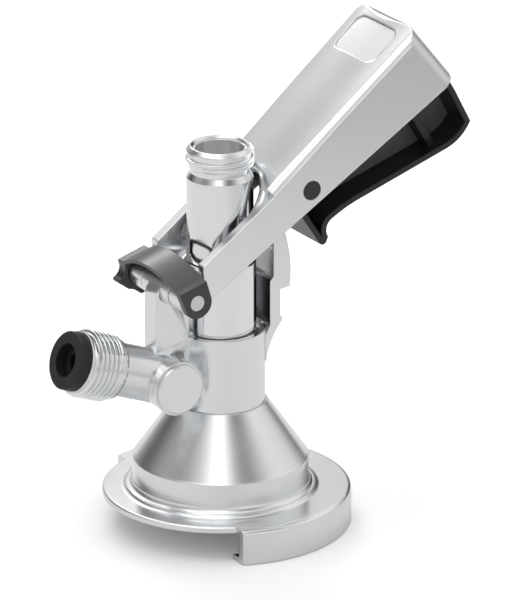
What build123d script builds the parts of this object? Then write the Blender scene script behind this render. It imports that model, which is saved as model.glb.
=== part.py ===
from build123d import *
import os
from math import cos, radians, sin, sqrt, tan

# Slide-on keg coupler, millimetres. +Z is the probe axis, upwards; z = 0 is the underside of the
# hooked rim; the lever reaches out over +X and its hinge pin lies along Y on the -X side.

os.makedirs("parts", exist_ok=True)

# ---- clearances ---------------------------------------------------------------------------------
fit_gap = 0.05          # shaft in hole, sliding or turning, on the radius
seat_gap = 0.05         # pieces of one body that seat in each other
side_gap = 0.3          # between pieces that move past each other

# ---- keg base: cone, flange and hooked rim --------------------------------------------------------
rim_radius = 44.1       # outside of the hooked rim
rim_wall = 2.6
rim_lip = 3.6           # how far the lip reaches in under the keg's flange
rim_lip_thick = 1.8
rim_cut = 16.0          # the rim ends this far behind the axis
rim_edge_round = 1.4
flange_radius = rim_radius - 4.3    # plain part of the flange
flange_top = 12.0
flange_thick = 2.1
ledge_radius = 32.4     # raised ring at the foot of the cone
ledge_height = 1.1
band_radius = 29.6      # upright band under the cone
band_bottom = 15.0
band_top = 23.4
neck_bottom = 42.6      # top of the cone, where the valve housing starts
neck_radius = 15.7
spigot_length = 3.0     # thin collar of the base inside the housing
spigot_radius = 14.3
pocket_inner = 23.0     # core-out of the underside
pocket_wall = 3.0
seal_recess_radius = 20.0
seal_recess_depth = 4.8
seal_proud = 1.0        # how far the rubber stands out of the recess

# ---- probe ----------------------------------------------------------------------------------------
probe_top = 132.5
outlet_thread_radius = 11.455   # G5/8
outlet_thread_length = 9.2
outlet_lip_radius = 10.3
outlet_lip_height = 1.2
outlet_bore_radius = 8.85
outlet_bore_depth = 12.0
barrel_radius = 11.2            # upper barrel
barrel_top = 121.1
barrel_chamfer = 0.9
slide_radius = 12.1             # lower barrel, the part that slides in the housing
shoulder_z = 92.4
slide_bottom = 58.0
stem_radius = 9.0               # stem below the sliding barrel
tip_z = 16.0                    # lowest point of the probe, lever up
ball_chamber_radius = 6.9
ball_radius = 6.35
ball_seat_z = 108.0
ball_seat_depth = 1.2
beer_bore_radius = 5.0
probe_stroke = 14.2
seal_seat_radius = 6.8          # reduced end of the stem, under the tip seal
seal_length = 5.0
drive_pin_radius = 2.2
drive_pin_depth = 2.6           # how deep the pins sit in the barrel
drive_z = 101.2                 # drive pins, lever up
insert_height = 11.0
insert_floor = 1.5
insert_flats = 16.4             # across the flats of the insert's twelve-sided socket

# ---- valve housing --------------------------------------------------------------------------------
collar_radius = 15.0
collar_top = 68.2
mouth_radius = 13.0             # counterbore at the top of the collar
mouth_depth = 2.6
chamber_radius = 13.2           # gas space round the probe
chamber_top = 57.0
ring_groove_z = 61.6
ring_wire = 1.0                 # section radius of the housing's O-ring
mouth_ring_sunk = 0.8           # the guide ring stands this far below the rim of the mouth

# ---- hinge ----------------------------------------------------------------------------------------
hinge_x = -20.3
hinge_z = 86.5
hinge_pin_radius = 2.7
knuckle_radius = 5.2
knuckle_half = 8.6
column_front = -27.0
column_back = -14.1
column_half = 3.6
column_low = 55.0

# ---- rear guide, which the trigger's catch rides down ----------------------------------------------
guide_half = 8.0
guide_inner = 14.7
guide_step_z = 84.0
guide_step = 1.4
guide_top = 102.4
guide_depth = 7.95              # thickest part, measured out from the inner face
guide_ledge_z = 81.0
guide_foot_x = 18.6
guide_foot_z = 69.8
guide_foot_low = 56.0

# ---- gas port ---------------------------------------------------------------------------------------
port_tilt = 20.6                # degrees above level, towards -X
port_face_x = -59.5             # centre of the washer's outer face
port_face_z = 68.1
washer_radius = 9.85
washer_hole_radius = 5.7
washer_thick = 3.8
inlet_thread_radius = 11.455    # G5/8
inlet_thread_length = 13.7
inlet_ring_radius = 10.4
inlet_ring_length = 1.0
port_tube_radius = 9.3
port_bore_radius = 6.4
port_bore_depth = 24.0          # from the threaded end
port_passage_radius = 4.0
boss_x = -22.9
boss_radius = 8.5
boss_ring_radius = 9.3
boss_face = 13.0
boss_ring_depth = 1.3
plug_depth = 4.5                # how deep the blanking plug sits in the boss
plug_ledge = 1.0                # its head stands out this far round the shank
valve_flange_thick = 2.0        # rubber non-return valve
valve_sleeve_radius = 4.6
valve_sleeve_wall = 1.4
valve_sleeve_length = 8.0
valve_beak_length = 8.0

# ---- lever, in a frame at the hinge pin: u along the top face, v square to it -----------------------
lever_rise = 39.4               # slope of the top face, degrees
lever_length = 117.5
lever_top = 6.9
lever_crown = 1.9
lever_half_hub = 16.5           # outer half width at the hinge
lever_half_end = 18.9
lever_wall = 3.5                # arms
shell_wall = 2.4                # top and end of the handle
end_round = 7.2                 # upright corners of the handle's end
end_top_round = 3.0
end_low_round = 2.2
ridge_round = 2.9               # rounded edge between the top and the sides
plate_start = 43.6              # front edge of the top face, at the arms
plate_start_half = 13.4
plate_arch = 6.2                # how far the edge bows back behind the barrel
facet_end = 76.0
arm_top_hub = 6.6
arm_top_fall = 0.055            # fall of the arms' top edge per millimetre of u
arm_top_start = 10.1
arm_low_hub = -4.3
arm_low_fall = 0.1148
hub_radius = 5.0
hub_inner = 8.9
lever_swing = 35.0              # degrees, handle up to handle down
crown_front = 0.9               # crown at the front edge of the top face
lip_drop = 3.2                  # turned-down lip under that edge
notch_top = -4.5                # opening in the end wall for the trigger's tail
notch_half = 13.0
groove_depth = 2.0              # blind cam grooves in the arms

# ---- window in the handle ---------------------------------------------------------------------------
window_length = 14.6
window_u = lever_length - 4.3 - window_length / 2
window_half = 12.0
window_round = 3.5
window_gap = 0.15               # round the plate
plate_edge = 0.3                # thickness of the plate at its edges
plate_crown = 0.7

# ---- trigger ----------------------------------------------------------------------------------------
trigger_u = 54.5
trigger_v = -5.2
trigger_pin_radius = 3.25
trigger_half = 12.0
trigger_hub_radius = 5.3
trigger_skin = 1.9
trigger_web = 2.4
nose_u = -8.7                   # nose of the trigger, from its pivot
nose_v = -21.8
nose_round = 1.3
throat_u = 8.4                  # hollow behind the nose, measured from the nose
throat_v = 4.2
finger_u = 21.5                 # start of the straight the fingers pull
finger_v = 0.7
heel_u = 53.9                   # end of that straight
heel_v = -11.6
heel_length = 12.9
heel_sag = 1.2
tail_gap = 0.7                  # from the tail to the outside of the handle's end
tail_height = 10.9
rib_u = 45.0
rib_thick = 2.6
rib_short = 4.5                 # the rib ends this far inside the flanges' edges
catch_half = 7.0
catch_rise = 2.6
catch_low = 22.0                # degrees above level at the hinge, lever up
spring_room_half = 4.2
spring_room_radius = 6.0
coil_radius = 4.4
coil_wire = 0.45
coil_turns = 4.75
coil_length = 5.6
spring_leg_down = 5.2

# ---- hinge clip -------------------------------------------------------------------------------------
clip_tilt = 17.0                # degrees, strap leans forward
clip_width = 10.6
clip_thick = 1.2
clip_edge = 6.4                 # outer height of the strap over the pin, at the ears
clip_crown = 4.6
clip_ear_inner = 16.9
clip_ear_thick = 2.7
clip_ear_top = 3.6
clip_grip = 4.2                 # thickness of the far ear, which is the finger grip
grip_reach = 9.0                # how far the grip stands out behind the pin
grip_drop = 7.5                 # and below it
pin_sunk = 0.2                  # the hinge pin ends this far inside the near ear
clip_hole_radius = hinge_pin_radius + seat_gap

hinge = Vector(hinge_x, 0, hinge_z)
guide_arc = guide_inner + guide_depth - hinge_x     # outer face, centred on the hinge
outlet_floor = probe_top - outlet_bore_depth

# The lever's own frame: local x is u, local y is v, and extrusions run along Y.
lever_u = Vector(cos(radians(lever_rise)), 0, sin(radians(lever_rise)))
lever_plane = Plane(origin=hinge, x_dir=lever_u, z_dir=(0, -1, 0))
side_plane = Plane(origin=(0, 0, 0), x_dir=(1, 0, 0), z_dir=(0, -1, 0))

# The port's frame: local z points out of the port, origin at the washer's outer face.
port_out = Vector(-cos(radians(port_tilt)), 0, sin(radians(port_tilt)))
port_face = Vector(port_face_x, 0, port_face_z)
inlet_end = port_face - port_out * washer_thick


def port_plane(depth):
    """Plane square to the gas port, this far in from the washer's outer face."""
    return Plane(origin=port_face - port_out * depth, x_dir=(0, 1, 0), z_dir=port_out)


def lever_half(u):
    """Outer half width of the lever at u."""
    return lever_half_hub + (lever_half_end - lever_half_hub) * u / lever_length


def arm_low(u):
    """Lower edge of the lever's sides."""
    return arm_low_hub - arm_low_fall * u


def arm_top(u):
    """Upper edge of the lever's arms."""
    return arm_top_hub - arm_top_fall * u


# ======================================================================================================
# Keg base. The core is turned; the hooked rim is three quarters of a channel that slides over the keg's
# flange from the side.
# ======================================================================================================
flange_low = flange_top - flange_thick
seal_recess_top = flange_low + seal_recess_depth
pocket_outer = band_radius - pocket_wall

with BuildPart() as keg_base:
    with BuildSketch(Plane.XZ):
        with BuildLine():
            Polyline(
                (seal_recess_radius, flange_low),
                (flange_radius, flange_low),
                (flange_radius, flange_top - 0.5),
                (flange_radius - 0.5, flange_top),
                (ledge_radius + 0.8, flange_top),
            )
            ThreePointArc(
                (ledge_radius + 0.8, flange_top),
                (ledge_radius, flange_top + 0.35),
                (ledge_radius - 0.6, flange_top + ledge_height),
            )
            Line(
                (ledge_radius - 0.6, flange_top + ledge_height),
                (ledge_radius - 1.4, flange_top + ledge_height),
            )
            ThreePointArc(
                (ledge_radius - 1.4, flange_top + ledge_height),
                (band_radius + 0.45, band_bottom - 1.2),
                (band_radius, band_bottom),
            )
            Polyline(
                (band_radius, band_bottom),
                (band_radius, band_top - 0.6),
                (band_radius - 0.5, band_top),
                (neck_radius, neck_bottom),
                (spigot_radius, neck_bottom),
                (spigot_radius, neck_bottom + spigot_length),
                (chamber_radius, neck_bottom + spigot_length),
                (chamber_radius, seal_recess_top),
                (seal_recess_radius, seal_recess_top),
                (seal_recess_radius, flange_low),
            )
        make_face()
    revolve(axis=Axis.Z)
    # core-out under the cone
    with BuildSketch(Plane.XZ):
        with BuildLine():
            Polyline(
                (pocket_inner, flange_low),
                (pocket_outer, flange_low),
                (pocket_outer, band_top - 2.0),
                (pocket_inner, band_top + 2.0),
                close=True,
            )
        make_face()
    revolve(axis=Axis.Z, mode=Mode.SUBTRACT)
    # top plate of the rim, flush with the flange
    with BuildSketch(Plane.XY.offset(flange_low)):
        Circle(rim_radius)
        with Locations((-rim_radius - rim_cut, 0)):
            Rectangle(2 * rim_radius, 2 * rim_radius + 2, mode=Mode.SUBTRACT)
        Circle(flange_radius - 2.0, mode=Mode.SUBTRACT)
    extrude(amount=flange_thick)
    # upright wall and inward lip
    with BuildSketch(Plane.XY):
        Circle(rim_radius)
        Circle(rim_radius - rim_wall, mode=Mode.SUBTRACT)
        with Locations((-rim_radius - rim_cut, 0)):
            Rectangle(2 * rim_radius, 2 * rim_radius + 2, mode=Mode.SUBTRACT)
    extrude(amount=flange_top)
    with BuildSketch(Plane.XY):
        Circle(rim_radius - rim_wall / 2)
        Circle(rim_radius - rim_wall - rim_lip, mode=Mode.SUBTRACT)
        with Locations((-rim_radius - rim_cut, 0)):
            Rectangle(2 * rim_radius, 2 * rim_radius + 2, mode=Mode.SUBTRACT)
    extrude(amount=rim_lip_thick)
    rim_top_edge = (
        keg_base.edges()
        .filter_by(GeomType.CIRCLE)
        .filter_by(lambda e: abs(e.radius - rim_radius) < 0.01 and abs(e.center().Z - flange_top) < 0.01)
    )
    fillet(rim_top_edge, rim_edge_round)
keg_base.part.label = "keg_base"

# Rubber seal that presses on the keg's valve.
with BuildPart() as base_seal:
    with BuildSketch(Plane.XZ):
        with BuildLine():
            Polyline(
                (stem_radius + 2.0, flange_low - seal_proud + 0.8),
                (stem_radius + 2.8, flange_low - seal_proud),
                (seal_recess_radius - 2.0, flange_low - seal_proud),
                (seal_recess_radius - seat_gap, flange_low + 0.4),
                (seal_recess_radius - seat_gap, seal_recess_top),
                (stem_radius + 2.0, seal_recess_top),
                close=True,
            )
        make_face()
    revolve(axis=Axis.Z)
base_seal.part.label = "base_seal"

# ======================================================================================================
# Valve housing: collar, gas port, hinge column and rear guide in one casting.
# ======================================================================================================
thread_end = washer_thick + inlet_thread_length
tube_reach = (-port_face_x) / cos(radians(port_tilt)) - 6.0


def guide_outer(z):
    """X of the guide's curved outer face at height z."""
    return hinge_x + sqrt(guide_arc ** 2 - (z - hinge_z) ** 2)


with BuildPart() as valve_housing:
    with BuildSketch(Plane.XY.offset(neck_bottom)):
        Circle(collar_radius)
    extrude(amount=collar_top - neck_bottom)
    # gas port: tube, ring and the turned end that carries the thread
    with BuildSketch(port_plane(tube_reach)):
        Circle(port_tube_radius)
    extrude(amount=tube_reach - thread_end)
    with BuildSketch(port_plane(thread_end + inlet_ring_length)):
        Circle(inlet_ring_radius)
    extrude(amount=inlet_ring_length)
    with BuildSketch(port_plane(thread_end)):
        Circle(inlet_thread_radius)
    extrude(amount=inlet_thread_length)
    chamfer(valve_housing.faces().sort_by(Axis.X)[0].edges(), 0.8)
    # blank boss on the near side of the port
    boss_z = port_face_z - (boss_x - port_face_x) * tan(radians(port_tilt))
    with BuildSketch(Plane.XZ):
        with Locations((boss_x, boss_z)):
            Circle(boss_ring_radius)
    extrude(amount=boss_face - boss_ring_depth)
    # hinge column and its knuckle
    with BuildSketch(side_plane):
        with BuildLine():
            Polyline(
                (column_front, column_low),
                (column_front, hinge_z - 1.8),
                (column_front + 0.6, hinge_z),
                (hinge_x - 0.7 * knuckle_radius, hinge_z + 0.7 * knuckle_radius),
                (hinge_x, hinge_z),
                (hinge_x + 2.0, hinge_z),
                (column_back, hinge_z - 3.0),
                (column_back, collar_top),
                (-mouth_radius - 0.6, collar_top - 3.0),
                (-mouth_radius - 0.6, column_low),
                close=True,
            )
        make_face()
    extrude(amount=column_half, both=True)
    with BuildSketch(side_plane):
        with Locations((hinge_x, hinge_z)):
            Circle(knuckle_radius)
    extrude(amount=knuckle_half, both=True)
    # rear guide
    with BuildSketch(side_plane):
        with BuildLine():
            Polyline(
                (guide_outer(guide_ledge_z), guide_ledge_z),
                (guide_foot_x, guide_ledge_z - 0.4),
                (guide_foot_x, guide_foot_z + 1.6),
                (guide_foot_x + 1.0, guide_foot_z),
            )
            ThreePointArc(
                (guide_foot_x + 1.0, guide_foot_z),
                (collar_radius + 0.9, guide_foot_z - 5.2),
                (collar_radius - 2.0, guide_foot_low),
            )
            Polyline(
                (collar_radius - 2.0, guide_foot_low),
                (collar_radius - 2.0, collar_top - 3.0),
                (guide_inner, collar_top),
                (guide_inner, guide_step_z),
                (guide_inner + guide_step, guide_step_z + 1.6),
                (guide_inner + guide_step, guide_top),
                (guide_outer(guide_top), guide_top),
            )
            ThreePointArc(
                (guide_outer(guide_top), guide_top),
                (guide_outer((guide_top + guide_ledge_z) / 2), (guide_top + guide_ledge_z) / 2),
                (guide_outer(guide_ledge_z), guide_ledge_z),
            )
        make_face()
    extrude(amount=guide_half, both=True)
    # room for the top of the base under the port and boss
    with BuildSketch(Plane.XY.offset(neck_bottom - 12)):
        Circle(neck_radius + 2.0)
    extrude(amount=12, mode=Mode.SUBTRACT)
    # bores: spigot seat, gas space, sliding fit, O-ring groove and mouth
    with BuildSketch(Plane.XZ):
        with BuildLine():
            Polyline(
                (0, neck_bottom - 1),
                (spigot_radius + seat_gap, neck_bottom - 1),
                (spigot_radius + seat_gap, neck_bottom + spigot_length + seat_gap),
                (chamber_radius, neck_bottom + spigot_length + seat_gap),
                (chamber_radius, chamber_top),
                (slide_radius + fit_gap, chamber_top + 1.2),
                (slide_radius + fit_gap, collar_top - mouth_depth),
                (mouth_radius, collar_top - mouth_depth),
                (mouth_radius, collar_top + 1),
                (0, collar_top + 1),
                close=True,
            )
        make_face()
    revolve(axis=Axis.Z, mode=Mode.SUBTRACT)
    with BuildSketch(Plane.XY.offset(ring_groove_z - ring_wire - seat_gap)):
        Circle(slide_radius + fit_gap + 2 * ring_wire + seat_gap)
    extrude(amount=2 * (ring_wire + seat_gap), mode=Mode.SUBTRACT)
    # gas way
    with BuildSketch(port_plane(washer_thick)):
        Circle(port_bore_radius)
    extrude(amount=-port_bore_depth, mode=Mode.SUBTRACT)
    with BuildSketch(port_plane(washer_thick)):
        Circle(port_passage_radius)
    extrude(amount=-(tube_reach - washer_thick), mode=Mode.SUBTRACT)
    # seat of the blanking plug
    with BuildSketch(Plane.XZ.offset(boss_face - plug_depth)):
        with Locations((boss_x, boss_z)):
            Circle(boss_radius - plug_ledge + seat_gap)
    extrude(amount=plug_depth + 1, mode=Mode.SUBTRACT)
    # hinge pin hole
    with BuildSketch(side_plane):
        with Locations((hinge_x, hinge_z)):
            Circle(hinge_pin_radius + seat_gap)
    extrude(amount=knuckle_half + 1, both=True, mode=Mode.SUBTRACT)
valve_housing.part.label = "valve_housing"

# Headed blanking plug in the boss, where such couplers can carry a relief valve.
with BuildPart() as boss_plug:
    with BuildSketch(Plane.XZ.offset(boss_face - plug_depth + seat_gap)):
        with Locations((boss_x, boss_z)):
            Circle(boss_radius - plug_ledge)
    extrude(amount=plug_depth - boss_ring_depth)
    with BuildSketch(Plane.XZ.offset(boss_face - boss_ring_depth)):
        with Locations((boss_x, boss_z)):
            Circle(boss_radius)
    extrude(amount=boss_ring_depth)
    chamfer(boss_plug.edges().filter_by(GeomType.CIRCLE).sort_by(Axis.Y)[0], 0.4)
boss_plug.part.label = "boss_plug"

# Guide ring pressed in the collar's mouth, which keeps the barrel straight.
with BuildPart() as mouth_ring:
    with BuildSketch(Plane.XY.offset(collar_top - mouth_depth + seat_gap)):
        Circle(mouth_radius - seat_gap)
        Circle(slide_radius + fit_gap, mode=Mode.SUBTRACT)
    extrude(amount=mouth_depth - mouth_ring_sunk)
mouth_ring.part.label = "mouth_ring"

# O-ring in the collar, which seals on the sliding barrel.
with BuildPart() as housing_o_ring:
    with BuildSketch(Plane.XZ):
        with Locations((slide_radius + fit_gap + ring_wire, ring_groove_z)):
            Circle(ring_wire)
    revolve(axis=Axis.Z)
housing_o_ring.part.label = "housing_o_ring"

# ======================================================================================================
# Gas inlet: rubber washer on the threaded end, and the rubber non-return valve in the bore behind it.
# ======================================================================================================
with BuildPart() as inlet_washer:
    with BuildSketch(port_plane(washer_thick)):
        Circle(washer_radius)
        Circle(washer_hole_radius, mode=Mode.SUBTRACT)
    extrude(amount=washer_thick)
    chamfer(inlet_washer.faces().sort_by(Axis.X)[0].edges().sort_by(SortBy.RADIUS)[-1], 0.5)
inlet_washer.part.label = "inlet_washer"

with BuildPart() as gas_check_valve:
    with BuildSketch(port_plane(washer_thick + valve_flange_thick)):
        Circle(port_bore_radius - seat_gap)
        Circle(valve_sleeve_radius - valve_sleeve_wall, mode=Mode.SUBTRACT)
    extrude(amount=valve_flange_thick)
    with BuildSketch(port_plane(washer_thick + valve_flange_thick + valve_sleeve_length)):
        Circle(valve_sleeve_radius)
        Circle(valve_sleeve_radius - valve_sleeve_wall, mode=Mode.SUBTRACT)
    extrude(amount=valve_sleeve_length)
    # the two lips of the beak close to a slit
    beak_base = washer_thick + valve_flange_thick + valve_sleeve_length
    with BuildSketch(port_plane(beak_base)):
        Circle(valve_sleeve_radius)
    with BuildSketch(port_plane(beak_base + valve_beak_length)):
        Rectangle(2 * valve_sleeve_radius - 1.0, 1.8)
    loft()
    with BuildSketch(port_plane(beak_base + valve_beak_length)):
        Rectangle(2 * valve_sleeve_radius - 3.6, 0.4)
    extrude(amount=valve_beak_length + 0.5, mode=Mode.SUBTRACT)
gas_check_valve.part.label = "gas_check_valve"

# ======================================================================================================
# Probe: the tube that carries the beer outlet and is pushed down on the keg's valve.
# ======================================================================================================
thread_low = probe_top - outlet_lip_height - outlet_thread_length

with BuildPart() as probe_body:
    with BuildSketch(Plane.XZ):
        with BuildLine():
            Polyline(
                (beer_bore_radius, tip_z + 0.6),
                (beer_bore_radius, ball_seat_z - ball_seat_depth),
                (beer_bore_radius + ball_seat_depth, ball_seat_z),
                (ball_chamber_radius, ball_seat_z),
                (ball_chamber_radius, outlet_floor),
                (outlet_bore_radius, outlet_floor),
                (outlet_bore_radius, probe_top - 0.6),
                (outlet_bore_radius + 0.6, probe_top),
                (outlet_lip_radius - 0.3, probe_top),
                (outlet_lip_radius, probe_top - 0.4),
                (outlet_lip_radius, probe_top - outlet_lip_height),
                (outlet_thread_radius - 0.5, probe_top - outlet_lip_height),
                (outlet_thread_radius, probe_top - outlet_lip_height - 0.5),
                (outlet_thread_radius, thread_low),
                (outlet_lip_radius, thread_low),
                (outlet_lip_radius, barrel_top),
                (barrel_radius - barrel_chamfer * 0.7, barrel_top),
                (barrel_radius, barrel_top - barrel_chamfer),
                (barrel_radius, shoulder_z + 0.6),
                (barrel_radius + 0.3, shoulder_z),
                (slide_radius - 0.3, shoulder_z),
                (slide_radius, shoulder_z - 0.3),
                (slide_radius, slide_bottom + 0.6),
                (slide_radius - 0.6, slide_bottom),
                (stem_radius, slide_bottom),
                (stem_radius, tip_z + seal_length),
                (seal_seat_radius, tip_z + seal_length),
                (seal_seat_radius, tip_z + 0.6),
                close=True,
            )
        make_face()
    revolve(axis=Axis.Z)
    # blind holes for the two drive pins
    for side in (1, -1):
        with BuildSketch(Plane.XZ.offset(side * (barrel_radius + 1))):
            with Locations((0, drive_z)):
                Circle(drive_pin_radius + seat_gap)
        extrude(amount=-side * (drive_pin_depth + 1), mode=Mode.SUBTRACT)
probe_body.part.label = "probe_body"

with BuildPart() as probe_seal:
    with BuildSketch(Plane.XZ):
        with BuildLine():
            Polyline(
                (beer_bore_radius, tip_z),
                (stem_radius - 0.6, tip_z),
                (stem_radius + 0.4, tip_z + 1.0),
                (stem_radius + 0.4, tip_z + seal_length - 0.8),
                (stem_radius, tip_z + seal_length - seat_gap),
                (seal_seat_radius + seat_gap, tip_z + seal_length - seat_gap),
                (seal_seat_radius + seat_gap, tip_z + 0.6 - seat_gap),
                (beer_bore_radius, tip_z + 0.6 - seat_gap),
                close=True,
            )
        make_face()
    revolve(axis=Axis.Z)
probe_seal.part.label = "probe_seal"

# Check ball on its seat, and the twelve-sided socket insert that holds it in.
ball_centre_z = ball_seat_z - ball_seat_depth + sqrt(ball_radius ** 2 - beer_bore_radius ** 2) + 0.02
with BuildPart() as check_ball:
    with BuildSketch(Plane.XZ):
        with BuildLine():
            ThreePointArc(
                (0, ball_centre_z - ball_radius),
                (ball_radius, ball_centre_z),
                (0, ball_centre_z + ball_radius),
            )
            Line((0, ball_centre_z + ball_radius), (0, ball_centre_z - ball_radius))
        make_face()
    revolve(axis=Axis.Z)
check_ball.part.label = "check_ball"

with BuildPart() as outlet_insert:
    with BuildSketch(Plane.XY.offset(outlet_floor)):
        Circle(outlet_bore_radius - seat_gap)
        RegularPolygon(insert_flats / 2, 12, major_radius=False, rotation=8, mode=Mode.SUBTRACT)
    extrude(amount=insert_height)
    with BuildSketch(Plane.XY.offset(outlet_floor)):
        Circle(outlet_bore_radius - seat_gap)
        Circle(beer_bore_radius, mode=Mode.SUBTRACT)
    extrude(amount=insert_floor)
outlet_insert.part.label = "outlet_insert"

# ======================================================================================================
# Lever. The arms' inner faces carry blind cam grooves: as the lever turns by an angle, the groove lets
# the drive pins fall by the same share of the stroke.
# ======================================================================================================
arm_inner_hub = lever_half_hub - lever_wall
groove_half = drive_pin_radius + side_gap
drive_pin_end = arm_inner_hub + groove_depth - side_gap
drop_per_radian = probe_stroke / radians(lever_swing)


def groove_point(turn):
    """Drive pin's centre, in the lever's frame, when the lever has turned down by this many degrees."""
    angle = radians(turn)
    pin_x = -hinge_x
    pin_z = drive_z - hinge_z - drop_per_radian * angle
    world_x = pin_x * cos(angle) - pin_z * sin(angle)
    world_z = pin_x * sin(angle) + pin_z * cos(angle)
    rise = radians(lever_rise)
    return (
        world_x * cos(rise) + world_z * sin(rise),
        -world_x * sin(rise) + world_z * cos(rise),
    )


def lever_section(u, ridge_half, crown):
    """Outline of the handle square to u: crowned top, rounded ridges and straight sides."""
    half = lever_half(u)
    edge = lever_top - ridge_round
    bulge = 0.2 * ridge_round
    mid_y = (ridge_half + half) / 2 + bulge
    mid_v = (lever_top + edge) / 2 + bulge
    with BuildSketch(Plane(origin=hinge + lever_u * u, x_dir=(0, 1, 0), z_dir=lever_u)) as section:
        with BuildLine():
            ThreePointArc((ridge_half, lever_top), (0, lever_top + crown), (-ridge_half, lever_top))
            ThreePointArc((-ridge_half, lever_top), (-mid_y, mid_v), (-half, edge))
            Polyline((-half, edge), (-half, handle_low), (half, handle_low), (half, edge))
            ThreePointArc((half, edge), (mid_y, mid_v), (ridge_half, lever_top))
        make_face()
    return section.sketch


def lever_block(u, half, low, high):
    """Plain rectangle square to u."""
    with BuildSketch(Plane(origin=hinge + lever_u * u, x_dir=(0, 1, 0), z_dir=lever_u)) as block:
        with Locations((0, (low + high) / 2)):
            Rectangle(2 * half, high - low)
    return block.sketch


def top_plane(v):
    """Plane along the handle's top face at height v: local x is u, local y is +Y."""
    square = Vector(-sin(radians(lever_rise)), 0, cos(radians(lever_rise)))
    return Plane(origin=hinge + square * v, x_dir=lever_u, z_dir=square)


handle_low = arm_low(lever_length) - 12
inner_end = lever_length - shell_wall
plate_under = lever_top - shell_wall
plate_inner_half = lever_half(plate_start) - lever_wall
hub_outer = lever_half_hub - lever_wall / 2
end_top = lever_top + lever_crown
window_floor = lever_top + 0.1
lip_low = plate_under - lip_drop
end_low = arm_low(lever_length)

front_u = -hub_radius - 1
front_half = lever_half(front_u)
front_outer = lever_block(front_u, front_half, handle_low, lever_top + 8)
front_inner = lever_block(front_u - 1, front_half - lever_wall, handle_low - 1, lever_top + 9)
shoulder_outer = lever_block(plate_start, lever_half(plate_start), handle_low, lever_top + 8)
shoulder_inner = lever_block(plate_start, plate_inner_half, handle_low - 1, lever_top + 9)
handle_inner = lever_block(plate_start - 0.01, plate_inner_half, handle_low - 1, plate_under)
end_inner = lever_block(inner_end, lever_half(inner_end) - lever_wall, handle_low - 1, plate_under)
handle_front = lever_section(plate_start, plate_start_half, crown_front)
crown_middle = (crown_front + lever_crown) / 2
handle_middle = lever_section(facet_end, lever_half(facet_end) - ridge_round, crown_middle)
handle_end = lever_section(lever_length, lever_half(lever_length) - ridge_round, lever_crown)

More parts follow.
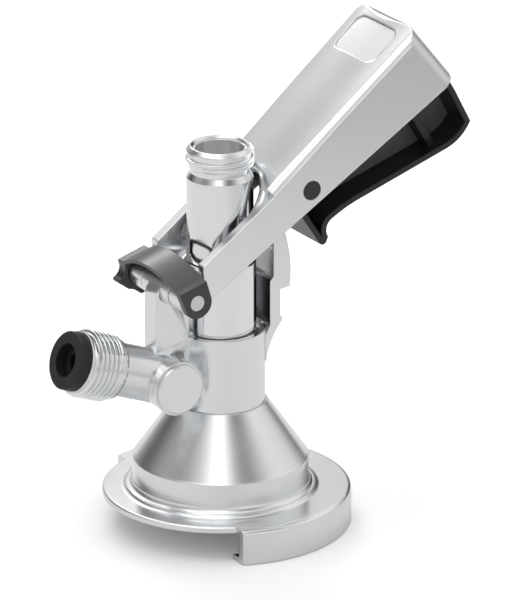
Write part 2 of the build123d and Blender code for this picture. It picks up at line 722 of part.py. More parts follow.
with BuildPart() as lever_shell:
    # arms, then the handle with its crowned top
    loft([front_outer, shoulder_outer], ruled=True)
    loft([handle_front, handle_middle], ruled=True)
    loft([handle_middle, handle_end], ruled=True)
    # open between the arms and under the handle
    loft([front_inner, shoulder_inner], ruled=True, mode=Mode.SUBTRACT)
    loft([handle_inner, end_inner], ruled=True, mode=Mode.SUBTRACT)
    # front edge of the top bows back behind the probe, with a turned-down lip
    with BuildSketch(top_plane(lip_low)):
        with BuildLine():
            ThreePointArc(
                (plate_start, plate_inner_half + 0.2),
                (plate_start + plate_arch + shell_wall, 0),
                (plate_start, -plate_inner_half - 0.2),
            )
            Line((plate_start, -plate_inner_half - 0.2), (plate_start, plate_inner_half + 0.2))
        make_face()
    extrude(amount=lip_drop)
    with BuildSketch(top_plane(lip_low - 1)):
        with BuildLine():
            ThreePointArc(
                (plate_start, plate_inner_half - shell_wall),
                (plate_start + plate_arch, 0),
                (plate_start, -plate_inner_half + shell_wall),
            )
            Line(
                (plate_start, -plate_inner_half + shell_wall),
                (plate_start, plate_inner_half - shell_wall),
            )
        make_face()
    extrude(amount=lip_drop + shell_wall + 6, mode=Mode.SUBTRACT)
    # side outline
    with BuildSketch(lever_plane):
        Circle(hub_radius)
        with BuildLine():
            Polyline(
                (lever_length, end_top - end_top_round),
                (lever_length, end_low + end_low_round),
            )
            ThreePointArc(
                (lever_length, end_low + end_low_round),
                (lever_length - 0.3 * end_low_round, end_low + 0.3 * end_low_round),
                (lever_length - end_low_round, arm_low(lever_length - end_low_round)),
            )
            Polyline(
                (lever_length - end_low_round, arm_low(lever_length - end_low_round)),
                (0, arm_low(0)),
                (0, 0),
                (hub_radius, -0.2),
                (arm_top_start, arm_top(arm_top_start)),
                (plate_start, arm_top(plate_start)),
                (plate_start, end_top + 0.05),
                (lever_length - end_top_round, end_top),
            )
            ThreePointArc(
                (lever_length - end_top_round, end_top),
                (lever_length - 0.3 * end_top_round, end_top - 0.3 * end_top_round),
                (lever_length, end_top - end_top_round),
            )
        make_face()
    extrude(amount=lever_half_end + 5, both=True, mode=Mode.INTERSECT)
    # rounded upright corners of the end
    with BuildSketch(top_plane(handle_low - 2)):
        with BuildLine():
            Polyline(
                (-20, lever_half_end + 2),
                (lever_length - end_round - 3, lever_half_end + 2),
                (lever_length - end_round - 3, lever_half_end),
                (lever_length - end_round, lever_half_end),
            )
            ThreePointArc(
                (lever_length - end_round, lever_half_end),
                (lever_length - 0.3 * end_round, lever_half_end - 0.3 * end_round),
                (lever_length, lever_half_end - end_round),
            )
            Line((lever_length, lever_half_end - end_round), (lever_length, -lever_half_end + end_round))
            ThreePointArc(
                (lever_length, -lever_half_end + end_round),
                (lever_length - 0.3 * end_round, -lever_half_end + 0.3 * end_round),
                (lever_length - end_round, -lever_half_end),
            )
            Polyline(
                (lever_length - end_round, -lever_half_end),
                (lever_length - end_round - 3, -lever_half_end),
                (lever_length - end_round - 3, -lever_half_end - 2),
                (-20, -lever_half_end - 2),
                (-20, lever_half_end + 2),
            )
        make_face()
    extrude(amount=end_top - handle_low + 4, mode=Mode.INTERSECT)
    # hubs on the arms' inner faces
    for side in (1, -1):
        with BuildSketch(Plane.XZ.offset(side * hub_inner)):
            with Locations((hinge_x, hinge_z)):
                Circle(hub_radius)
        extrude(amount=side * (hub_outer - hub_inner))
    # hinge pin and trigger pin holes
    with BuildSketch(lever_plane):
        Circle(hinge_pin_radius + fit_gap)
        with Locations((trigger_u, trigger_v)):
            Circle(trigger_pin_radius + seat_gap)
    extrude(amount=lever_half_end + 2, both=True, mode=Mode.SUBTRACT)
    # notch in the end wall for the trigger's tail
    with BuildSketch(Plane(origin=hinge + lever_u * (inner_end - 1), x_dir=(0, 1, 0), z_dir=lever_u)):
        with Locations((0, (notch_top + handle_low) / 2)):
            Rectangle(2 * notch_half, notch_top - handle_low)
    extrude(amount=shell_wall + 3, mode=Mode.SUBTRACT)
    # window recess
    with BuildSketch(top_plane(window_floor)):
        with Locations((window_u, 0)):
            RectangleRounded(window_length, 2 * window_half, window_round)
    extrude(amount=lever_crown + 3, mode=Mode.SUBTRACT)
    # cam grooves
    for side in (1, -1):
        with BuildSketch(lever_plane.offset(side * (arm_inner_hub - 0.5))):
            with BuildLine(mode=Mode.PRIVATE) as groove_path:
                ThreePointArc(groove_point(0), groove_point(lever_swing / 2), groove_point(lever_swing))
            SlotArc(groove_path.edge(), 2 * groove_half)
        extrude(amount=side * (groove_depth + 0.5), mode=Mode.SUBTRACT)
lever_shell.part.label = "lever_shell"

# Drive pins: short hardened pins pressed in the barrel.
with BuildPart() as drive_pins:
    for side in (1, -1):
        with BuildSketch(Plane.XZ.offset(side * drive_pin_end)):
            with Locations((0, drive_z)):
                Circle(drive_pin_radius)
        extrude(amount=-side * (drive_pin_end - barrel_radius + drive_pin_depth - seat_gap))
drive_pins.part.label = "drive_pins"

# Blank plate in the handle's window, crowned like the handle.
plate_half = window_half - window_gap
plate_low = window_floor + seat_gap
plate_origin = hinge + lever_u * (window_u - window_length / 2)
with BuildPart() as window_plate:
    with BuildSketch(Plane(origin=plate_origin, x_dir=(0, 1, 0), z_dir=lever_u)):
        with BuildLine():
            ThreePointArc(
                (plate_half, plate_low + plate_edge),
                (0, plate_low + plate_edge + plate_crown),
                (-plate_half, plate_low + plate_edge),
            )
            Polyline(
                (-plate_half, plate_low + plate_edge),
                (-plate_half, plate_low),
                (plate_half, plate_low),
                (plate_half, plate_low + plate_edge),
            )
        make_face()
    extrude(amount=window_length)
    with BuildSketch(top_plane(plate_low)):
        with Locations((window_u, 0)):
            RectangleRounded(window_length - 2 * window_gap, 2 * plate_half, window_round - window_gap)
    extrude(amount=3, mode=Mode.INTERSECT)
window_plate.part.label = "window_plate"

# ======================================================================================================
# Hinge: pin through the housing's knuckle and the lever's hubs, held by a sprung plastic clip.
# ======================================================================================================
clip_ear_outer = clip_ear_inner + clip_ear_thick
with BuildPart() as hinge_pin:
    with BuildSketch(side_plane):
        with Locations((hinge_x, hinge_z)):
            Circle(hinge_pin_radius)
    extrude(amount=clip_ear_outer - pin_sunk, both=True)
hinge_pin.part.label = "hinge_pin"

clip_across = Vector(cos(radians(clip_tilt)), 0, sin(radians(clip_tilt)))
clip_half = clip_width / 2
clip_end = Plane(origin=hinge - clip_across * clip_half, x_dir=(0, 1, 0), z_dir=clip_across)
ear_plane = Plane(origin=hinge, x_dir=clip_across, z_dir=(0, -1, 0))
strap_end = clip_ear_inner + 0.6

with BuildPart() as hinge_clip:
    # arched strap
    with BuildSketch(clip_end):
        with BuildLine():
            ThreePointArc((strap_end, clip_edge), (0, clip_edge + clip_crown), (-strap_end, clip_edge))
            Polyline(
                (-strap_end, clip_edge),
                (-clip_ear_outer, clip_edge - 0.6),
                (-clip_ear_outer, clip_ear_top),
                (-clip_ear_inner, clip_ear_top),
                (-clip_ear_inner, clip_edge - clip_thick),
            )
            ThreePointArc(
                (-clip_ear_inner, clip_edge - clip_thick),
                (0, clip_edge + clip_crown - clip_thick),
                (clip_ear_inner, clip_edge - clip_thick),
            )
            Polyline(
                (clip_ear_inner, clip_edge - clip_thick),
                (clip_ear_inner, clip_ear_top),
                (clip_ear_inner + clip_grip, clip_ear_top),
                (clip_ear_inner + clip_grip, clip_edge - 0.3),
                (strap_end, clip_edge),
            )
        make_face()
    extrude(amount=clip_width)
    # near ear, round below the pin
    with BuildSketch(ear_plane.offset(clip_ear_inner)):
        with BuildLine():
            Polyline(
                (clip_half, 0),
                (clip_half, clip_ear_top + 0.4),
                (-clip_half, clip_ear_top + 0.4),
                (-0.86 * clip_half, -0.51 * clip_half),
            )
            ThreePointArc(
                (-0.86 * clip_half, -0.51 * clip_half),
                (0.12 * clip_half, -0.993 * clip_half),
                (clip_half, 0),
            )
        make_face()
    extrude(amount=clip_ear_thick)
    # far ear is a finger grip, scooped at its front and foot
    with BuildSketch(ear_plane.offset(-clip_ear_inner)):
        with BuildLine():
            ThreePointArc(
                (-clip_half, clip_edge - 0.3),
                (-clip_half - 0.4, clip_ear_top - 0.7),
                (-grip_reach + 0.4, 0.9),
            )
            ThreePointArc((-grip_reach + 0.4, 0.9), (-grip_reach, 0.1), (-grip_reach + 0.5, -0.7))
            Line((-grip_reach + 0.5, -0.7), (-grip_reach + 2.6, -grip_drop + 3.9))
            ThreePointArc(
                (-grip_reach + 2.6, -grip_drop + 3.9),
                (-grip_reach + 4.4, -grip_drop + 2.8),
                (-2.9, -grip_drop + 0.6),
            )
            ThreePointArc((-2.9, -grip_drop + 0.6), (-1.9, -grip_drop), (-0.8, -grip_drop + 0.3))
            Polyline(
                (-0.8, -grip_drop + 0.3),
                (clip_half - 1.1, -grip_drop + 2.9),
                (clip_half, -2.0),
                (clip_half, clip_edge - 0.3),
                (-clip_half, clip_edge - 0.3),
            )
        make_face()
    extrude(amount=-clip_grip)
    with BuildSketch(ear_plane):
        Circle(clip_hole_radius)
    extrude(amount=clip_ear_inner + clip_grip + 1, both=True, mode=Mode.SUBTRACT)
hinge_clip.part.label = "hinge_clip"

# ======================================================================================================
# Trigger: moulded I-section that hangs under the handle on its own pin. Its catch rides down the rear
# guide and springs in under the guide's ledge.
# ======================================================================================================
trigger_plane = Plane(
    origin=lever_plane.from_local_coords(Vector(trigger_u, trigger_v, 0)),
    x_dir=lever_u,
    z_dir=(0, -1, 0),
)
tail_u = lever_length - trigger_u - tail_gap
tail_top = notch_top - trigger_v - 9.5
catch_radius = guide_arc + side_gap + 0.05
hub_face = lever_half(trigger_u - trigger_hub_radius) - lever_wall - side_gap


def catch_point(rise):
    """Point on the catch's tip, this many millimetres up its arc about the hinge."""
    angle = radians(catch_low - lever_rise) + rise / catch_radius
    return (catch_radius * cos(angle), catch_radius * sin(angle))


def from_nose(u, v):
    """Point of the trigger's outline, measured from its nose."""
    return (nose_u + u, nose_v + v)


def trigger_outline():
    """Side outline of the trigger, about its pivot."""
    nose_front = from_nose(0, 0.7 * nose_round)
    nose_back = from_nose(2 * nose_round, -0.2 * nose_round)
    throat_start = from_nose(2.9 * nose_round, 0.3 * nose_round)
    throat_end = from_nose(throat_u, throat_v)
    finger_start = from_nose(finger_u, finger_v)
    finger_end = from_nose(heel_u, heel_v)
    heel_end = from_nose(heel_u + heel_length, heel_v + 0.2)
    with BuildLine() as outline:
        Polyline(
            (-trigger_hub_radius, 2.0),
            (nose_u + nose_round, 1.6 * -trigger_hub_radius),
            nose_front,
        )
        ThreePointArc(nose_front, from_nose(0.85 * nose_round, -0.4 * nose_round), nose_back)
        Line(nose_back, throat_start)
        ThreePointArc(throat_start, from_nose(throat_u - 3.5, throat_v - nose_round), throat_end)
        ThreePointArc(throat_end, from_nose((throat_u + finger_u) / 2, throat_v - nose_round), finger_start)
        Line(finger_start, finger_end)
        ThreePointArc(finger_end, from_nose(heel_u + 0.54 * heel_length, heel_v - heel_sag), heel_end)
        Polyline(
            heel_end,
            (tail_u - 1.5, tail_top - tail_height),
            (tail_u, tail_top),
            (tail_u - 2.4, tail_top + 0.4),
            (trigger_hub_radius, trigger_hub_radius - 1.5),
            (0, trigger_hub_radius),
            (-trigger_hub_radius, 2.0),
        )
    return outline.edges()


with BuildPart() as trigger:
    with BuildSketch(trigger_plane):
        make_face(trigger_outline())
    extrude(amount=trigger_half, both=True)
    # hollow sides leave the web, the rib and the skin all round
    for side in (1, -1):
        with BuildSketch(trigger_plane.offset(side * trigger_web / 2)):
            make_face(trigger_outline())
            offset(amount=-trigger_skin, mode=Mode.REPLACE)
            with Locations((rib_u, nose_v)):
                Rectangle(rib_thick, 60, rotation=-8, mode=Mode.SUBTRACT)
            Circle(trigger_hub_radius, mode=Mode.SUBTRACT)
        extrude(amount=side * trigger_half, mode=Mode.SUBTRACT)
        # the rib stops short of the flanges' edges
        with BuildSketch(trigger_plane.offset(side * (trigger_half - rib_short))):
            make_face(trigger_outline())
            offset(amount=-trigger_skin, mode=Mode.REPLACE)
            Circle(trigger_hub_radius + 4, mode=Mode.SUBTRACT)
        extrude(amount=side * (rib_short + 1), mode=Mode.SUBTRACT)
    with BuildSketch(trigger_plane):
        Circle(trigger_hub_radius)
    extrude(amount=hub_face, both=True)
    # catch
    with BuildSketch(lever_plane):
        with BuildLine():
            Polyline(
                catch_point(0),
                catch_point(catch_rise),
                (trigger_u - trigger_hub_radius, trigger_v - 1.0),
                (trigger_u + nose_u + 2.4, trigger_v - 1.7 * trigger_hub_radius),
                close=True,
            )
        make_face()
    extrude(amount=catch_half, both=True)
    # room for the coil, and the pin's bore
    with BuildSketch(trigger_plane):
        Circle(spring_room_radius)
        with Locations((0.5, spring_room_radius)):
            Rectangle(2 * spring_room_radius, 2 * spring_room_radius)
    extrude(amount=spring_room_half, both=True, mode=Mode.SUBTRACT)
    with BuildSketch(trigger_plane):
        Circle(trigger_pin_radius + fit_gap)
    extrude(amount=lever_half_end, both=True, mode=Mode.SUBTRACT)
trigger.part.label = "trigger"

with BuildPart() as trigger_pin:
    with BuildSketch(trigger_plane):
        Circle(trigger_pin_radius)
    extrude(amount=lever_half(trigger_u) + 0.2, both=True)
    chamfer(trigger_pin.edges().filter_by(GeomType.CIRCLE), 0.3)
trigger_pin.part.label = "trigger_pin"

# Torsion spring on the trigger pin: one leg stands up to the handle's top, the other lies over the
# trigger and holds its tail down.
spring_leg_up = plate_under - trigger_v - 0.5
coil_start = trigger_plane.origin - Vector(0, coil_length / 2, 0)
coil_axis = Axis(coil_start, (0, 1, 0))

with BuildPart() as trigger_spring:
    with BuildLine() as coil:
        turns = Helix(
            pitch=coil_length / coil_turns,
            height=coil_length,
            radius=coil_radius,
            center=coil_start,
            direction=(0, 1, 0),
            mode=Mode.PRIVATE,
        )
        add(turns.rotate(coil_axis, 90 - lever_rise))
    with BuildSketch(Plane(origin=coil.line @ 0, z_dir=coil.line % 0)):
        Circle(coil_wire)
    sweep(path=coil.line)
    with BuildSketch(Plane(origin=coil.line @ 0, z_dir=coil.line % 0)):
        Circle(coil_wire)
    extrude(amount=-spring_leg_up)
    with BuildSketch(Plane(origin=coil.line @ 1, z_dir=coil.line % 1)):
        Circle(coil_wire)
    extrude(amount=spring_leg_down)
trigger_spring.part.label = "trigger_spring"

for piece in (
    keg_base,
    base_seal,
    valve_housing,
    boss_plug,
    mouth_ring,
    housing_o_ring,
    inlet_washer,
    gas_check_valve,
    probe_body,
    probe_seal,
    check_ball,
    outlet_insert,
    drive_pins,
    lever_shell,
    window_plate,
    hinge_pin,
    hinge_clip,
    trigger,
    trigger_pin,
    trigger_spring,
):
    export_step(piece.part, "parts/" + piece.part.label + ".step")
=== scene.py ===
import math

import bmesh
import bpy
from mathutils import Matrix, Vector


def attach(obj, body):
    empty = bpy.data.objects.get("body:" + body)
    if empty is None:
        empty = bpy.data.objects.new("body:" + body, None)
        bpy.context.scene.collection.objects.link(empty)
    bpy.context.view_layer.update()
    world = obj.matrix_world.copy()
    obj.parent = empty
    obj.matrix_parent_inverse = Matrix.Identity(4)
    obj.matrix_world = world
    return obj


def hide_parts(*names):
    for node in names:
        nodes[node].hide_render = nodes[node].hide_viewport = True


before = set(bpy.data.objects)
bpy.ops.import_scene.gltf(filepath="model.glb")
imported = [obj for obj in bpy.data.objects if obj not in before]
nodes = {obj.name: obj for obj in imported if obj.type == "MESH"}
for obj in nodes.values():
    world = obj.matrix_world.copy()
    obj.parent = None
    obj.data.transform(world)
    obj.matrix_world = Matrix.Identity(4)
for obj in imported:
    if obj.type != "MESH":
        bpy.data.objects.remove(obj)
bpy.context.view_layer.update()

# ---- Keg base ------------------------------------------------------------------------------------
# A brass forging, turned all over and polished, then nickel plated. The cone carries the valve
# housing; the flange and its hooked rim slide over the keg's neck from the side.


class Value:
    """A socket of a finish, so that shader maths is written as an expression."""

    def __init__(self, finish, socket):
        self.finish = finish
        self.socket = socket

    def maths(self, operation, first, second):
        return self.finish.node("ShaderNodeMath", {"operation": operation}, {0: first, 1: second})

    def __add__(self, other):
        return self.maths("ADD", self, other)

    __radd__ = __add__

    def __rsub__(self, other):
        return self.maths("SUBTRACT", other, self)

    def __mul__(self, other):
        return self.maths("MULTIPLY", self, other)

    __rmul__ = __mul__

    def __pow__(self, other):
        return self.maths("POWER", self, other)


class Finish:
    """A surface finish: one material and the nodes that feed its shader."""

    def __init__(self, name, colour, roughness, metallic=0.0):
        self.material = bpy.data.materials.new(name)
        self.material.use_nodes = True
        self.tree = self.material.node_tree
        self.shader = self.tree.nodes["Principled BSDF"]
        self.shader.inputs["Base Color"].default_value = (*colour, 1.0)
        self.shader.inputs["Roughness"].default_value = roughness
        self.shader.inputs["Metallic"].default_value = metallic
        self.material.diffuse_color = (*colour, 1.0)

    def put(self, socket, value):
        """Links a node's result to a socket, or sets the socket to a plain value."""
        if isinstance(value, Value):
            self.tree.links.new(value.socket, socket)
        else:
            socket.default_value = value

    def node(self, kind, settings=None, sockets=None, output=0):
        """One shader node: its settings, what goes in, and which of its outputs is wanted."""
        made = self.tree.nodes.new(kind)
        for key, value in (settings or {}).items():
            setattr(made, key, value)
        for key, value in (sockets or {}).items():
            self.put(made.inputs[key], value)
        return Value(self, made.outputs[output])

    def feed(self, name, value):
        self.put(self.shader.inputs[name], value)

    def position(self, stretch=(1.0, 1.0, 1.0)):
        place = self.node("ShaderNodeTexCoord", output="Object")
        return self.node("ShaderNodeMapping", sockets={"Vector": place, "Scale": stretch})

    def noise(self, scale, detail=2.0, stretch=(1.0, 1.0, 1.0)):
        sockets = {"Vector": self.position(stretch), "Scale": scale, "Detail": detail}
        return self.node("ShaderNodeTexNoise", sockets=sockets)

    def part(self, vector, axis):
        """One part of a vector: 0 is X, 1 is Y and 2 is Z."""
        return self.node("ShaderNodeSeparateXYZ", sockets={0: vector}, output=axis)

    def size(self, value):
        """The value without its sign."""
        return self.node("ShaderNodeMath", {"operation": "ABSOLUTE"}, {0: value})

    def grey(self, level):
        return self.node("ShaderNodeCombineColor", sockets={0: level, 1: level, 2: level})

    def mix(self, share, colour, other):
        """Goes from one colour to the other as the share goes from 0 to 1."""
        sockets = {0: share, 6: (*colour, 1.0), 7: (*other, 1.0)}
        return self.node("ShaderNodeMix", {"data_type": "RGBA"}, sockets, output=2)

    def step(self, value, start, end):
        """Rises from 0 to 1 as the value goes from start to end, or falls where end is the lower."""
        low, high = min(start, end), max(start, end)
        ends = {3: 0.0, 4: 1.0} if end > start else {3: 1.0, 4: 0.0}
        return self.node("ShaderNodeMapRange", sockets={0: value, 1: low, 2: high, **ends})

    def soft_edges(self, radius, relief=None, strength=0.1, depth=0.0001):
        """Edges that shade as if rounded to a radius, under a fine relief."""
        rounded = self.node("ShaderNodeBevel", {"samples": 6}, {"Radius": radius})
        if relief is not None:
            sockets = {"Strength": strength, "Distance": depth, "Height": relief, "Normal": rounded}
            rounded = self.node("ShaderNodeBump", sockets=sockets)
        self.feed("Normal", rounded)


def dress(name, finish):
    """The CAD node takes a finish."""
    node = nodes[name]
    node.data.materials.clear()
    node.data.materials.append(finish.material)


PLATED = (0.80, 0.81, 0.82)
turned_silver = Finish("turned_silver", PLATED, roughness=0.22, metallic=1.0)
turning_marks = turned_silver.noise(scale=900.0, stretch=(0.02, 0.02, 1.0))
turned_silver.feed("Roughness", 0.15 + 0.14 * turned_silver.noise(scale=60.0))
turned_silver.soft_edges(radius=0.0005, relief=turning_marks, strength=0.15, depth=0.00004)
dress("keg_base", turned_silver)

# ---- Rubber seals --------------------------------------------------------------------------------
# Moulded black rubber: the base seal, the probe's tip seal, the O-ring and the inlet's washer and
# non-return valve.
black_rubber = Finish("black_rubber", (0.006, 0.0065, 0.007), roughness=0.6)
rubber_grain = black_rubber.noise(scale=2500.0, detail=3.0)
black_rubber.feed("Roughness", 0.52 + 0.16 * black_rubber.noise(scale=180.0))
black_rubber.soft_edges(radius=0.0004, relief=rubber_grain, strength=0.15, depth=0.00003)
for seal in ("base_seal", "probe_seal", "housing_o_ring", "inlet_washer", "gas_check_valve"):
    dress(seal, black_rubber)

# ---- Valve housing -------------------------------------------------------------------------------
# A polished and plated casting: collar, gas port, hinge column and rear guide in one piece. The end
# of the port is turned and carries a G5/8 thread, which the solid has as a plain cylinder.
cast_silver = Finish("cast_silver", PLATED, roughness=0.24, metallic=1.0)
cast_skin = cast_silver.noise(scale=220.0, detail=3.0)
cast_silver.feed("Roughness", 0.2 + 0.1 * cast_silver.noise(scale=90.0))
cast_silver.soft_edges(radius=0.0006, relief=cast_skin, strength=0.06, depth=0.0001)

# Painted shade: the channel behind the barrel gets a dark base colour where it would lie in shadow.
# Above a height the painted shade is lighter.
CHANNEL_SHADE_GREY = (0.10, 0.10, 0.11)
ahead, aside, height = [cast_silver.part(cast_silver.position(), axis) for axis in range(3)]
front_wall = cast_silver.step(ahead, start=0.0130, end=0.0134)
back_wall = cast_silver.step(ahead, start=0.0165, end=0.0163)
side_walls = cast_silver.step(cast_silver.size(aside), start=0.00796, end=0.0079)
floor_up = cast_silver.step(height, start=0.0684, end=0.0690)
lighter_shade_at_top = 1.0 - 0.4 * cast_silver.step(height, start=0.0840, end=0.0846)
channel_shade = front_wall * back_wall * side_walls * floor_up * lighter_shade_at_top
cast_silver.feed("Base Color", cast_silver.mix(channel_shade, PLATED, CHANNEL_SHADE_GREY))

# G5/8, in metres: radii over the crests and at the root, and 14 turns to the inch.
THREAD_CREST = 0.011455
THREAD_CORE = 0.01045
THREAD_PITCH = 0.001814
ROOT_SUNK = 0.0002
CREST_ROUND = 0.00012


def merged_copy(name):
    """A working copy of a CAD node's mesh, with its loose triangles joined."""
    shape = bmesh.new()
    shape.from_mesh(nodes[name].data)
    bmesh.ops.remove_doubles(shape, verts=shape.verts, dist=1e-6)
    return shape


def add_piece(name, shape, finish, body, stands_for=None, sharp=24):
    """The shape becomes a finished piece that rides on a body."""
    mesh = bpy.data.meshes.new(name)
    shape.to_mesh(mesh)
    shape.free()
    mesh.shade_smooth()
    mesh.set_sharp_from_angle(angle=math.radians(sharp))
    mesh.materials.append(finish.material)
    piece = bpy.data.objects.new(name, mesh)
    bpy.context.collection.objects.link(piece)
    flats = piece.modifiers.new("flats", "WEIGHTED_NORMAL")
    flats.keep_sharp = True
    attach(piece, body)
    if stands_for:
        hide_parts(stands_for)
    return piece


def turn_down(shape, foot, way, low, high):
    """Turns the plain cylinder between two heights along its axis down to the thread's core."""
    for vert in shape.verts:
        arm = vert.co - foot
        height = arm.dot(way)
        out = arm - way * height
        if low < height < high and out.length > THREAD_CORE:
            vert.co = foot + way * height + out * (THREAD_CORE / out.length)


def thread(name, foot, way, length, finish, body):
    """The thread's ridge: a flat-topped triangle wound round the core, fading out at both ends."""
    ridge = bmesh.new()
    half = THREAD_PITCH / 2
    root = THREAD_CORE - ROOT_SUNK
    flank = (
        (root, half),
        (THREAD_CORE + ROOT_SUNK, half * 0.94),
        (THREAD_CREST - CREST_ROUND, half * 0.56),
        (THREAD_CREST, half * 0.4),
    )
    profile = [(radius, -rise) for radius, rise in flank] + list(reversed(flank))
    ridge.faces.new([ridge.verts.new((radius, 0.0, rise + half)) for radius, rise in profile])
    turns = (length - THREAD_PITCH) / THREAD_PITCH
    steps_per_turn = 64
    steps = int(steps_per_turn * turns)
    bmesh.ops.spin(
        ridge,
        geom=ridge.verts[:] + ridge.edges[:] + ridge.faces[:],
        axis=(0, 0, 1),
        cent=(0, 0, 0),
        dvec=(0, 0, THREAD_PITCH * turns / steps),
        angle=2 * math.pi * turns,
        steps=steps,
    )
    fade = THREAD_PITCH * 0.3
    top = length - THREAD_PITCH
    for vert in ridge.verts:
        turned = math.atan2(vert.co.y, vert.co.x) / (2 * math.pi) % 1.0
        start = THREAD_PITCH * turned
        lap = round((vert.co.z - half - start) / THREAD_PITCH)
        along = start + lap * THREAD_PITCH
        grown = min(1.0, along / fade, (top - along) / fade)
        radius = math.hypot(vert.co.x, vert.co.y)
        sunk = root + (radius - root) * max(0.0, grown)
        vert.co.x *= sunk / radius
        vert.co.y *= sunk / radius
    bmesh.ops.recalc_face_normals(ridge, faces=ridge.faces)
    turned_way = way.to_track_quat("Z", "Y").to_matrix().to_4x4()
    ridge.transform(Matrix.Translation(foot) @ turned_way)
    return add_piece(name, ridge, finish, body, sharp=50)


# The port leaves the collar at a slant. Its end is the washer's outer face, and the thread starts
# behind that and runs up to the washer.
port_tilt = math.radians(20.6)
port_end = Vector((-0.0595, 0.0, 0.0681))
port_way = Vector((-math.cos(port_tilt), 0.0, math.sin(port_tilt)))
foot_depth = 0.0175
port_foot = port_end - port_way * foot_depth
housing = merged_copy("valve_housing")
turn_down(housing, port_foot, port_way, low=-0.0001, high=0.0145)
add_piece("housing_casting", housing, cast_silver, "body", stands_for="valve_housing")
turned_thread = Finish("turned_thread", PLATED, roughness=0.1, metallic=1.0)
turned_thread.feed("Roughness", 0.07 + 0.08 * turned_thread.noise(scale=150.0))
turned_thread.soft_edges(radius=0.0001)
inlet_thread_length = 0.0131
thread("inlet_thread", port_foot, port_way, inlet_thread_length, turned_thread, "body")
dress("boss_plug", cast_silver)

# ---- Probe ---------------------------------------------------------------------------------------
# Stainless tube, mirror polished, with the beer thread at its top, two pins pressed in its sides, and
# a check ball that a twelve-sided insert keeps in. A guide ring in the collar's mouth keeps it straight.
mirror_silver = Finish("mirror_silver", (0.82, 0.83, 0.84), roughness=0.06, metallic=1.0)
mirror_silver.feed("Roughness", 0.07 + 0.05 * mirror_silver.noise(scale=120.0))
mirror_silver.soft_edges(radius=0.0002)
# Radius and height of each corner of the turned tube, in millimetres: up the bore, over the outlet's
# lip, down the thread's core, the neck and the barrels, and back under the tip.
probe_profile = (
    (5.0, 16.6), (5.0, 106.8), (6.2, 108.0), (6.9, 108.0), (6.9, 120.5), (8.85, 120.5),
    (8.85, 131.8), (9.3, 132.3), (9.5, 132.5), (9.95, 132.5), (10.1, 132.4), (11.1, 131.35),
    (11.2, 131.2), (11.2, 131.0), (10.45, 130.7), (10.45, 125.6), (10.0, 125.3), (10.0, 123.8),
    (10.1, 123.5), (11.1, 121.9), (11.2, 121.7), (11.2, 93.0), (11.5, 92.4), (11.8, 92.4),
    (12.1, 92.1), (12.1, 58.6), (11.5, 58.0), (9.0, 58.0), (9.0, 21.0), (6.8, 21.0), (6.8, 16.6),
)
probe = bmesh.new()
outline = [probe.verts.new((radius / 1000, 0.0, height / 1000)) for radius, height in probe_profile]
for first, second in zip(outline, outline[1:] + outline[:1]):
    probe.edges.new((first, second))
bmesh.ops.spin(
    probe,
    geom=probe.verts[:] + probe.edges[:],
    axis=(0, 0, 1),
    cent=(0, 0, 0),
    angle=2 * math.pi,
    steps=128,
    use_merge=True,
)
bmesh.ops.recalc_face_normals(probe, faces=probe.faces)
add_piece("probe_tube", probe, mirror_silver, "probe", stands_for="probe_body")
outlet_foot = Vector((0.0, 0.0, 0.1253))
upwards = Vector((0.0, 0.0, 1.0))
outlet_thread_length = 0.0056
thread("outlet_thread", outlet_foot, upwards, outlet_thread_length, mirror_silver, "probe")
ground_steel = Finish("ground_steel", (0.66, 0.66, 0.66), roughness=0.25, metallic=1.0)
ground_steel.soft_edges(radius=0.0003)
dress("drive_pins", ground_steel)
dress("mouth_ring", ground_steel)
dress("check_ball", ground_steel)
insert_silver = Finish("insert_silver", (0.90, 0.90, 0.90), roughness=0.34, metallic=1.0)
insert_silver.soft_edges(radius=0.0003)
dress("outlet_insert", insert_silver)

# ---- Lever ---------------------------------------------------------------------------------------
# A polished and plated casting, open underneath, with a blank plate glued in its window. Its two arms
# turn on a steel pin and hold the probe's pins in the grooves on their inner sides.
lever_silver = Finish("lever_silver", PLATED, roughness=0.24, metallic=1.0)
lever_skin = lever_silver.noise(scale=200.0, detail=3.0)
lever_silver.feed("Roughness", 0.18 + 0.1 * lever_silver.noise(scale=70.0))
lever_silver.soft_edges(radius=0.0007, relief=lever_skin, strength=0.05, depth=0.0001)
dress("lever_shell", lever_silver)

# The front edge of its top is rolled over, and runs out along the arms. The roll's line is given from
# the hinge, in millimetres: along the lever, across it, and square to its top.
hinge = Vector((-0.0203, 0.0, 0.0865))
lever_rise = math.radians(39.4)
along = Vector((math.cos(lever_rise), 0.0, math.sin(lever_rise)))
square = Vector((-along.z, 0.0, along.x))
roll_curve = bpy.data.curves.new("lever_front_roll", "CURVE")
roll_curve.dimensions = "3D"
roll_curve.bevel_depth = 0.0021
roll_curve.bevel_resolution = 6
roll_curve.resolution_u = 16
roll_curve.use_fill_caps = True
roll_path = (
    (33.0, -14.2, 2.0), (37.0, -13.6, 2.4), (41.5, -12.6, 3.4),
    (46.0, -9.6, 4.6), (49.6, -4.4, 4.9), (50.2, 0.0, 5.0),
)
roll_path += tuple((out, -over, rise) for out, over, rise in reversed(roll_path[:-1]))
roll_spline = roll_curve.splines.new("NURBS")
roll_spline.points.add(len(roll_path) - 1)
for point, (out, over, rise) in zip(roll_spline.points, roll_path):
    sideways = Vector((0.0, over, 0.0))
    point.co = (*(hinge + (along * out + square * rise + sideways) / 1000), 1.0)
roll_spline.order_u = 4
roll_spline.use_endpoint_u = True
roll_source = bpy.data.objects.new("roll_source", roll_curve)
bpy.context.collection.objects.link(roll_source)
bpy.context.view_layer.update()
roll = bmesh.new()
roll_mesh = bpy.data.meshes.new_from_object(roll_source)
roll.from_mesh(roll_mesh)
bpy.data.objects.remove(roll_source)
bpy.data.meshes.remove(roll_mesh)
bmesh.ops.remove_doubles(roll, verts=roll.verts, dist=1e-6)
bmesh.ops.recalc_face_normals(roll, faces=roll.faces)
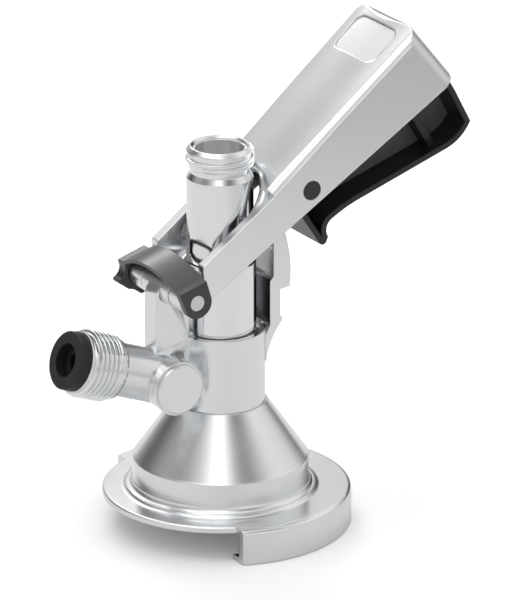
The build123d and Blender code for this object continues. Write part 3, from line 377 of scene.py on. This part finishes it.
add_piece("lever_front_roll", roll, lever_silver, "lever", sharp=50)
plate_paint = Finish("plate_paint", (0.84, 0.845, 0.85), roughness=0.34, metallic=0.9)
plate_paint.feed("Roughness", 0.3 + 0.1 * plate_paint.noise(scale=120.0))
plate_paint.soft_edges(radius=0.0003)
dress("window_plate", plate_paint)
dress("hinge_pin", ground_steel)

# ---- Hinge clip ----------------------------------------------------------------------------------
# A sprung clip of dark plastic that keeps the hinge pin in: a strap over the knuckle, a round ear at
# the pin's end and a grip. It snaps on, so it has no fastener.
clip_grey = Finish("clip_grey", (0.010, 0.011, 0.012), roughness=0.3)
clip_grey.feed("IOR", 1.7)
clip_grey.feed("Roughness", 0.26 + 0.08 * clip_grey.noise(scale=200.0))
clip_grey.soft_edges(radius=0.0004)
dress("hinge_clip", clip_grey)

# ---- Trigger -------------------------------------------------------------------------------------
# A black glass-filled nylon moulding with open pockets on both sides of a thin web. It turns in the
# lever on a blackened pin, and a steel coil spring pushes its catch in.
NYLON = (0.012, 0.012, 0.013)
WEB_PAINTED_LIGHT = (0.10, 0.106, 0.112)
black_nylon = Finish("black_nylon", NYLON, roughness=0.34)
# Painted light: the web has a lighter grey base colour than the walls, standing in for the light that
# falls on it. It is also duller, and it is told from the walls by its place and the way it faces.
off_centre = black_nylon.size(black_nylon.part(black_nylon.position(), 1))
normal = black_nylon.node("ShaderNodeTexCoord", output="Normal")
sideways_on = black_nylon.size(black_nylon.part(normal, 1))
near_centre = black_nylon.step(off_centre, start=0.00130, end=0.00123)
web_only = near_centre * black_nylon.step(sideways_on, start=0.5, end=0.9)
nylon_grain = black_nylon.noise(scale=1800.0, detail=3.0)
black_nylon.feed("Base Color", black_nylon.mix(web_only, NYLON, WEB_PAINTED_LIGHT))
black_nylon.feed("Roughness", 0.34 + 0.2 * web_only)
black_nylon.soft_edges(radius=0.0004, relief=nylon_grain, strength=0.08, depth=0.00003)
dress("trigger", black_nylon)
black_steel = Finish("black_steel", (0.02, 0.02, 0.022), roughness=0.42)
black_steel.soft_edges(radius=0.0003)
dress("trigger_pin", black_steel)
spring_steel = Finish("spring_steel", (0.55, 0.55, 0.55), roughness=0.3, metallic=1.0)
dress("trigger_spring", spring_steel)

# ---- Floor, light and camera ---------------------------------------------------------------------
# A pale paper sweep under a studio sky of soft areas of light, with one small lamp behind. The paper is
# white to the camera. Where the metal mirrors it, it carries painted shade that grows greyer away from
# the coupler.
floor_mesh = bmesh.new()
bmesh.ops.create_grid(floor_mesh, x_segments=1, y_segments=1, size=6.0)
floor_data = bpy.data.meshes.new("floor")
floor_mesh.to_mesh(floor_data)
floor_mesh.free()
floor = bpy.data.objects.new("floor", floor_data)
bpy.context.collection.objects.link(floor)
floor.location.z = -0.0002
paper = Finish("paper", (0.92, 0.92, 0.92), roughness=0.9)
paper.feed("Specular IOR Level", 0.0)
seen = paper.node("ShaderNodeLightPath", output="Is Camera Ray")
# Painted shade that only the metal sees: away from the coupler, along a slant, the paper turns from the
# near grey to the far grey.
slant = paper.position((0.52, -0.85, 1.0))
reach = paper.part(slant, 0) + paper.part(slant, 1)
near, far, near_grey, far_grey, seen_grey = 0.22, 0.5, 0.80, 0.50, 0.97
fall = {0: reach, 1: near, 2: far, 3: near_grey, 4: far_grey}
mirrored_shade = paper.node("ShaderNodeMapRange", {"interpolation_type": "SMOOTHSTEP"}, fall)
to_eye = {0: seen, 2: mirrored_shade, 3: seen_grey}
paper.feed("Base Color", paper.grey(paper.node("ShaderNodeMix", {"data_type": "FLOAT"}, to_eye)))
paper.feed("Emission Color", paper.grey(seen * 0.12))
paper.feed("Emission Strength", 1.0)
floor.data.materials.append(paper.material)

# A long lens, far back, a little above the coupler; "back" points from it to the camera.
target = Vector((0.0107, -0.0080, 0.0782))
back = Vector((-0.4887, -0.8006, 0.3469))
camera_distance = 2.155
camera_data = bpy.data.cameras.new("camera")
camera_data.sensor_width = 36.0
camera_data.lens = 387.94
camera = bpy.data.objects.new("camera", camera_data)
bpy.context.collection.objects.link(camera)
camera.location = target + back * camera_distance
camera.rotation_mode = "QUATERNION"
camera.rotation_quaternion = (-back).to_track_quat("-Z", "Y")
camera_data.clip_end = 50.0
bpy.context.scene.camera = camera


# The lamp draws bright edges on the far side.
back_data = bpy.data.lights.new("back_light", "AREA")
back_data.shape = "DISK"
back_data.size = 0.14
back_data.energy = 0.25
back_light = bpy.data.objects.new("back_light", back_data)
bpy.context.collection.objects.link(back_light)
back_light.location = (0.13, 0.40, 0.35)
back_light.rotation_mode = "QUATERNION"
back_light.rotation_quaternion = (back_light.location - target).to_track_quat("Z", "Y")

world = bpy.data.worlds.new("studio")
bpy.context.scene.world = world
world.use_nodes = True


def toward(turn, rise):
    """Direction from the coupler, turned to the right of the camera and raised, in degrees."""
    ahead = Vector((back.x, back.y, 0)).normalized()
    right = Vector((-ahead.y, ahead.x, 0))
    turn, rise = math.radians(turn), math.radians(rise)
    level_way = ahead * math.cos(turn) + right * math.sin(turn)
    return level_way * math.cos(rise) + Vector((0, 0, math.sin(rise)))


class Sky(Finish):
    """The studio's own light, put together in the same way as a finish."""

    def __init__(self, tree):
        self.tree = tree


sky = Sky(world.node_tree)
gaze = sky.node("ShaderNodeTexCoord", output="Generated")
level = sky.node("ShaderNodeValue")
level.socket.default_value = 0.56
# Soft areas of light: the way each one lies, how bright it is, and how tight. A dark flag is below 0.
for turn, rise, strength, tightness in (
    (-165, 12, -0.10, 14.0),
    (-125, 12, -0.43, 14.0),
    (-85, 12, 0.10, 14.0),
    (-45, 12, 0.21, 14.0),
    (35, 12, 0.49, 14.0),
    (75, 12, 0.16, 14.0),
    (115, 12, 0.18, 14.0),
    (155, 12, -0.63, 14.0),
    (-160, 42, 1.48, 14.0),
    (-110, 42, -0.43, 14.0),
    (-60, 42, -0.42, 14.0),
    (-10, 42, 0.40, 14.0),
    (0, 52, 1.00, 50.0),
    (40, 42, -0.45, 14.0),
    (90, 42, 0.33, 14.0),
    (140, 42, 0.45, 14.0),
    (-90, 70, 2.11, 14.0),
    (30, 72, 0.24, 14.0),
):
    ways = {0: gaze, 1: toward(turn, rise)}
    facing = sky.node("ShaderNodeVectorMath", {"operation": "DOT_PRODUCT"}, ways, "Value")
    ahead_only = sky.node("ShaderNodeMath", {"operation": "MAXIMUM"}, {0: facing, 1: 0.0})
    level = level + (ahead_only ** tightness) * strength
white = (1.0, 1.0, 1.0, 1.0)
lit = sky.node("ShaderNodeBackground", sockets={"Color": sky.grey(level), "Strength": 1.0})
plain = sky.node("ShaderNodeBackground", sockets={"Color": white, "Strength": 1.0})
to_camera = sky.node("ShaderNodeLightPath", output="Is Camera Ray")
shown = sky.node("ShaderNodeMixShader", sockets={0: to_camera, 1: lit, 2: plain})
sky.put(sky.tree.nodes["World Output"].inputs["Surface"], shown)
bpy.context.scene.view_settings.view_transform = "Standard"
